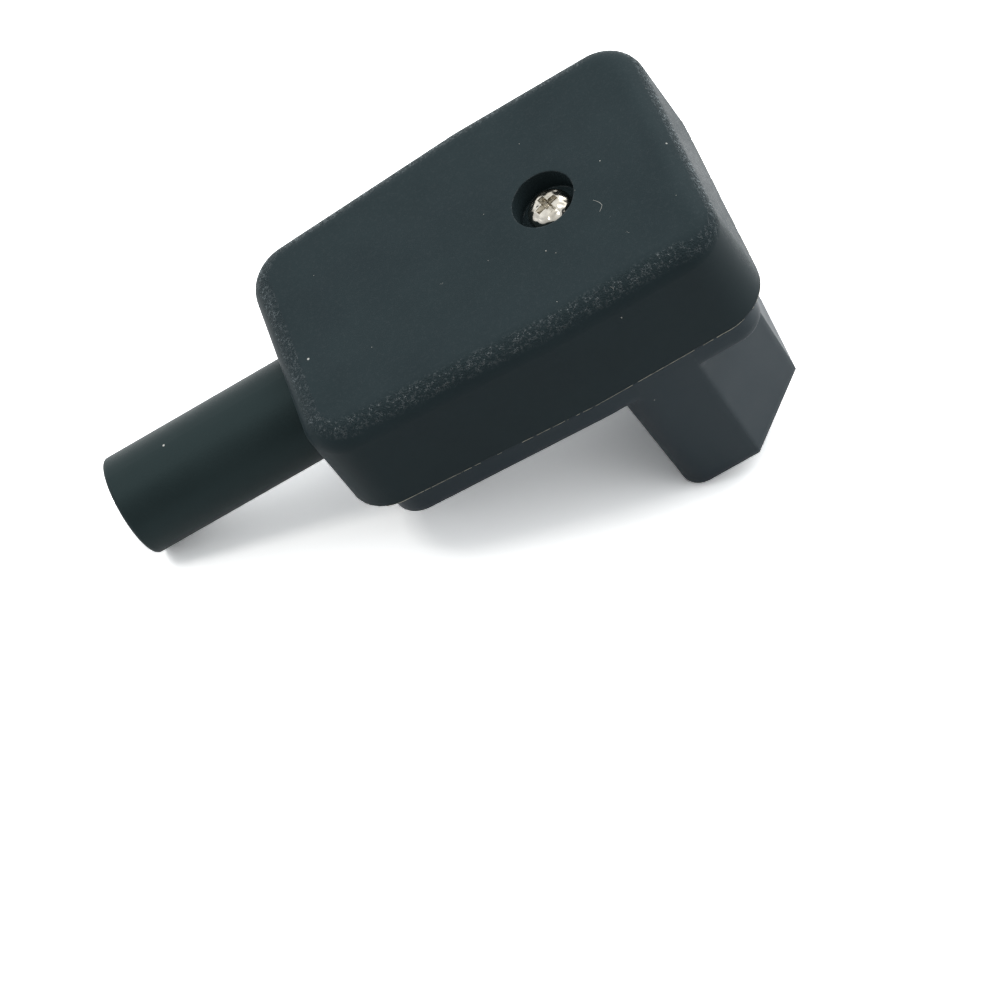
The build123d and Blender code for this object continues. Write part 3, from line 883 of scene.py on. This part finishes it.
# %% Tree: a broken thread of flash
# Sizes are in millimetres.
flash, flash_in, flash_out = new_tree(
    "mould flash",
    {
        "Geometry": ("NodeSocketGeometry", None),
        "Step": ("NodeSocketFloat", 0.12),
        "Radius": ("NodeSocketFloat", 0.05),
        "Wander": ("NodeSocketFloat", 0.04),
        "Missing": ("NodeSocketFloat", 0.45),
        "Seed": ("NodeSocketFloat", 3.0),
        "Finish": ("NodeSocketMaterial", None),
    },
)
path = flash.nodes.new("GeometryNodeMeshToCurve")
even = flash.nodes.new("GeometryNodeResampleCurve")
even.mode = "LENGTH"
flash.links.new(flash_in.outputs["Geometry"], path.inputs["Mesh"])
flash.links.new(path.outputs["Curve"], even.inputs["Curve"])
flash.links.new(flash_in.outputs["Step"], even.inputs["Length"])
where = flash.nodes.new("GeometryNodeInputPosition")


def flash_noise(scale, shift):
    """Noise along the path in millimetres, moved on by the tree's seed and a shift."""
    made = node(flash, "ShaderNodeTexNoise", {"noise_dimensions": "4D"}, Scale=scale, Detail=2.0)
    flash.links.new(where.outputs["Position"], made.inputs["Vector"])
    flash.links.new(math_node(flash, "ADD", flash_in.outputs["Seed"], shift), made.inputs["W"])
    return made


drift_noise = flash_noise(scale=1.4, shift=0.0)
off_centre = node(flash, "ShaderNodeVectorMath", {"operation": "SUBTRACT"})
off_centre.inputs[1].default_value = (NOISE_MIDDLE, NOISE_MIDDLE, NOISE_MIDDLE)
flash.links.new(drift_noise.outputs["Color"], off_centre.inputs[0])
drift_by = node(flash, "ShaderNodeVectorMath", {"operation": "SCALE"})
flash.links.new(off_centre.outputs["Vector"], drift_by.inputs[0])
flash.links.new(flash_in.outputs["Wander"], drift_by.inputs["Scale"])
wander = flash.nodes.new("GeometryNodeSetPosition")
flash.links.new(even.outputs["Curve"], wander.inputs["Geometry"])
flash.links.new(drift_by.outputs["Vector"], wander.inputs["Offset"])
line = flash.nodes.new("GeometryNodeCurveToMesh")
flash.links.new(wander.outputs["Geometry"], line.inputs["Curve"])
gap_noise = flash_noise(scale=0.95, shift=5.0)
broken_off = flash.nodes.new("FunctionNodeCompare")
broken_off.operation = "LESS_THAN"
flash.links.new(gap_noise.outputs["Fac"], broken_off.inputs["A"])
flash.links.new(flash_in.outputs["Missing"], broken_off.inputs["B"])
cut_out = flash.nodes.new("GeometryNodeDeleteGeometry")
cut_out.domain = "EDGE"
flash.links.new(line.outputs["Mesh"], cut_out.inputs["Geometry"])
flash.links.new(broken_off.outputs["Result"], cut_out.inputs["Selection"])
stretches = flash.nodes.new("GeometryNodeMeshToCurve")
flash.links.new(cut_out.outputs["Geometry"], stretches.inputs["Mesh"])
thick_noise = flash_noise(scale=1.1, shift=9.0)
swell = node(flash, "ShaderNodeMapRange", From_Min=0.35, From_Max=0.70, To_Min=0.12, To_Max=1.0)
flash.links.new(thick_noise.outputs["Fac"], swell.inputs["Value"])
swelling = flash.nodes.new("GeometryNodeSetCurveRadius")
flash.links.new(stretches.outputs["Curve"], swelling.inputs["Curve"])
flash.links.new(swell.outputs["Result"], swelling.inputs["Radius"])
thin = flash.nodes.new("GeometryNodeCurvePrimitiveCircle")
thin.inputs["Resolution"].default_value = SECTION_CORNERS
flash.links.new(flash_in.outputs["Radius"], thin.inputs["Radius"])
swept_flash = flash.nodes.new("GeometryNodeCurveToMesh")
swept_flash.inputs["Fill Caps"].default_value = True
flash.links.new(swelling.outputs["Curve"], swept_flash.inputs["Curve"])
flash.links.new(thin.outputs["Curve"], swept_flash.inputs["Profile Curve"])
end_tree(flash, flash_in, flash_out, swept_flash.outputs["Mesh"])
print("tree", flash.name, [item.name for item in flash.interface.items_tree])

# %% Flash on the cover
# The light colour of the flash is partly a painted highlight, which keeps it bright in the shade of the
# near side.
flash_with_painted_highlight = moulding(
    "flash with painted highlight",
    deep=(0.13, 0.13, 0.11),
    light=(0.66, 0.63, 0.50),
    worn=(0.66, 0.63, 0.50),
    grain_scale=9000.0,
    grain_depth=0.000006,
    roughness=0.45,
    roughness_swing=0.2,
    crest_polish=0.1,
    crest_mirror=0.0,
    specular=0.5,
    specular_tint=(0.9, 0.97, 1.0),
    edge_radius=0.00005,
    softness=0.00003,
    dust_amount=0.0,
)
flash_values = {"Step": 0.12, "Radius": 0.065, "Wander": 0.07, "Missing": 0.44, "Seed": 3.0}
flash_mesh = run_tree(flash, edge_path, {**flash_values, "Finish": flash_with_painted_highlight})
flash_mesh.transform(connector)
cover_flash = bpy.data.objects.new("cover_flash", flash_mesh)
bpy.context.scene.collection.objects.link(cover_flash)
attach(cover_flash, "root")
print(cover_flash.name, "has", len(flash_mesh.polygons), "faces")

# %% [markdown]
# ## Lint and dust
#
# A handled black part gathers motes and short fibres, which show as pale specks on whatever faces
# up. A Geometry Nodes tree scatters them on the skin of the mouldings, with a fixed seed, only where
# the skin faces up and nothing lies above it. The specks that catch the eye in the photograph, and
# one bent fibre beside the screw, are laid one by one in the same material.

# %% Tree: motes and fibres on what faces up
# Motes and fibres are counted per square metre, and the sizes are in metres.
lint, lint_in, lint_out = new_tree(
    "settled lint",
    {
        "Geometry": ("NodeSocketGeometry", None),
        "Motes": ("NodeSocketFloat", 6500.0),
        "Fibres": ("NodeSocketFloat", 1500.0),
        "Mote Radius": ("NodeSocketFloat", 0.00004),
        "Bend Radius": ("NodeSocketFloat", 0.0006),
        "Hair Radius": ("NodeSocketFloat", 0.000016),
        "Seed": ("NodeSocketInt", 4),
        "Finish": ("NodeSocketMaterial", None),
    },
)
FACES_UP = 0.35
JUST_ABOVE = 0.00005
FIBRE_POINTS = 9
FIBRE_BEND = math.radians(75)
HAIR_CORNERS = 5
FIBRE_SEED_SHIFT = 7
mote_sizes = (0.5, 1.2)
fibre_sizes = (0.4, 1.0)


def random_value(tree, data_type, low, high, seed):
    """A random value of a data type between low and high, as an output."""
    made = tree.nodes.new("FunctionNodeRandomValue")
    made.data_type = data_type
    live_inputs = [socket for socket in made.inputs if socket.enabled]
    live_inputs[0].default_value = low
    live_inputs[1].default_value = high
    tree.links.new(seed, made.inputs["Seed"])
    return next(socket for socket in made.outputs if socket.enabled)


def scatter(density, seed_shift, shape, sizes):
    """Copies of a shape on the open upward faces, turned and sized at random."""
    seed = math_node(lint, "ADD", lint_in.outputs["Seed"], seed_shift)
    normal = lint.nodes.new("GeometryNodeInputNormal")
    normal_parts = lint.nodes.new("ShaderNodeSeparateXYZ")
    lint.links.new(normal.outputs["Normal"], normal_parts.inputs["Vector"])
    upward_only = math_node(lint, "GREATER_THAN", normal_parts.outputs["Z"], FACES_UP)
    points = lint.nodes.new("GeometryNodeDistributePointsOnFaces")
    lint.links.new(lint_in.outputs["Geometry"], points.inputs["Mesh"])
    lint.links.new(upward_only, points.inputs["Selection"])
    lint.links.new(density, points.inputs["Density"])
    lint.links.new(seed, points.inputs["Seed"])
    here = lint.nodes.new("GeometryNodeInputPosition")
    above = node(lint, "ShaderNodeVectorMath", {"operation": "ADD"})
    above.inputs[1].default_value = (0, 0, JUST_ABOVE)
    lint.links.new(here.outputs["Position"], above.inputs[0])
    sky = lint.nodes.new("GeometryNodeRaycast")
    sky.inputs["Ray Direction"].default_value = (0, 0, 1)
    lint.links.new(lint_in.outputs["Geometry"], sky.inputs["Target Geometry"])
    lint.links.new(above.outputs["Vector"], sky.inputs["Source Position"])
    in_the_open = lint.nodes.new("GeometryNodeDeleteGeometry")
    lint.links.new(points.outputs["Points"], in_the_open.inputs["Geometry"])
    lint.links.new(sky.outputs["Is Hit"], in_the_open.inputs["Selection"])
    placed = lint.nodes.new("GeometryNodeInstanceOnPoints")
    lint.links.new(in_the_open.outputs["Geometry"], placed.inputs["Points"])
    lint.links.new(points.outputs["Rotation"], placed.inputs["Rotation"])
    lint.links.new(shape, placed.inputs["Instance"])
    lint.links.new(random_value(lint, "FLOAT", *sizes, seed), placed.inputs["Scale"])
    spun_round = lint.nodes.new("GeometryNodeRotateInstances")
    spin = random_value(lint, "FLOAT_VECTOR", (0, 0, 0), (0, 0, 2 * math.pi), seed)
    lint.links.new(placed.outputs["Instances"], spun_round.inputs["Instances"])
    lint.links.new(spin, spun_round.inputs["Rotation"])
    return spun_round.outputs["Instances"]


mote_ball = lint.nodes.new("GeometryNodeMeshIcoSphere")
mote_ball.inputs["Subdivisions"].default_value = 2
lint.links.new(lint_in.outputs["Mote Radius"], mote_ball.inputs["Radius"])
bend = lint.nodes.new("GeometryNodeCurveArc")
bend.inputs["Resolution"].default_value = FIBRE_POINTS
bend.inputs["Sweep Angle"].default_value = FIBRE_BEND
lint.links.new(lint_in.outputs["Bend Radius"], bend.inputs["Radius"])
hair_section = lint.nodes.new("GeometryNodeCurvePrimitiveCircle")
hair_section.inputs["Resolution"].default_value = HAIR_CORNERS
lint.links.new(lint_in.outputs["Hair Radius"], hair_section.inputs["Radius"])
hair_tube = lint.nodes.new("GeometryNodeCurveToMesh")
hair_tube.inputs["Fill Caps"].default_value = True
lint.links.new(bend.outputs["Curve"], hair_tube.inputs["Curve"])
lint.links.new(hair_section.outputs["Curve"], hair_tube.inputs["Profile Curve"])
together = lint.nodes.new("GeometryNodeJoinGeometry")
all_motes = scatter(lint_in.outputs["Motes"], 0, mote_ball.outputs["Mesh"], mote_sizes)
lint.links.new(all_motes, together.inputs[0])
fibre_count = lint_in.outputs["Fibres"]
all_fibres = scatter(fibre_count, FIBRE_SEED_SHIFT, hair_tube.outputs["Mesh"], fibre_sizes)
lint.links.new(all_fibres, together.inputs[0])
end_tree(lint, lint_in, lint_out, together.outputs["Geometry"])
print("tree", lint.name, [item.name for item in lint.interface.items_tree])

# %% Lint on the skin, and the pieces laid one by one
pale_lint = moulding(
    "pale lint",
    deep=(0.28, 0.28, 0.26),
    light=(0.46, 0.46, 0.43),
    worn=(0.7, 0.7, 0.68),
    grain_scale=9000.0,
    grain_depth=0.000004,
    roughness=0.75,
    roughness_swing=0.1,
    crest_polish=0.0,
    crest_mirror=0.0,
    specular=0.3,
    specular_tint=(1.0, 1.0, 1.0),
    edge_radius=0.00002,
    softness=0.00002,
    dust_amount=0.0,
)
skin_shape = bmesh.new()
for title in ("cover", "base", "cable_guard", "cover_screw"):
    skin_shape.from_mesh(nodes[title].data)
skin = bpy.data.meshes.new("skin")
skin_shape.to_mesh(skin)
skin_shape.free()
settled = run_tree(lint, skin, {"Seed": 4, "Finish": pale_lint})
COVER_TOP_Z = 12.05
bent_fibre = [(4.24, -3.26), (4.50, -3.60), (4.71, -4.01), (4.80, -4.36), (4.60, -4.65), (4.34, -4.92)]
streak = [(2.6, -12.2, 11.9), (3.3, -12.25, 11.88), (4.0, -12.15, 11.92), (4.7, -12.3, 11.85)]
laid_paths = [[(x, y, COVER_TOP_Z) for x, y in bent_fibre], streak]
# Each speck has its place and its radius, in millimetres.
laid_specks = [
    ((1.66, -14.62, 8.88), 0.075),
    ((-0.87, -12.10, -7.04), 0.06),
    ((-1.70, -5.82, COVER_TOP_Z), 0.075),
    ((-0.93, -6.65, COVER_TOP_Z), 0.05),
    ((6.37, 0.53, COVER_TOP_Z), 0.07),
]
laid = bmesh.new()
laid.from_mesh(settled)
for path_points in laid_paths:
    path_mesh = bpy.data.meshes.new("fibre path")
    steps = range(len(path_points) - 1)
    path_mesh.from_pydata(path_points, [(step, step + 1) for step in steps], [])
    fibre_values = {"Step": 0.08, "Radius": 0.025, "Wander": 0.05, "Missing": 0.0, "Seed": 8.0}
    fibre = run_tree(flash, path_mesh, {**fibre_values, "Finish": pale_lint})
    fibre.transform(connector)
    laid.from_mesh(fibre)
for spot, radius in laid_specks:
    at_spot = connector @ Matrix.Translation(spot)
    bmesh.ops.create_icosphere(laid, subdivisions=2, radius=radius, matrix=at_spot)
for face in laid.faces:
    face.smooth = True
    face.material_index = 0
settled_lint = as_object("settled_lint", laid)
settled_lint.data.materials.append(pale_lint)
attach(settled_lint, "root")
print(settled_lint.name, "has", len(settled_lint.data.polygons), "faces")

# %% View settings
bpy.context.scene.view_settings.view_transform = "Standard"
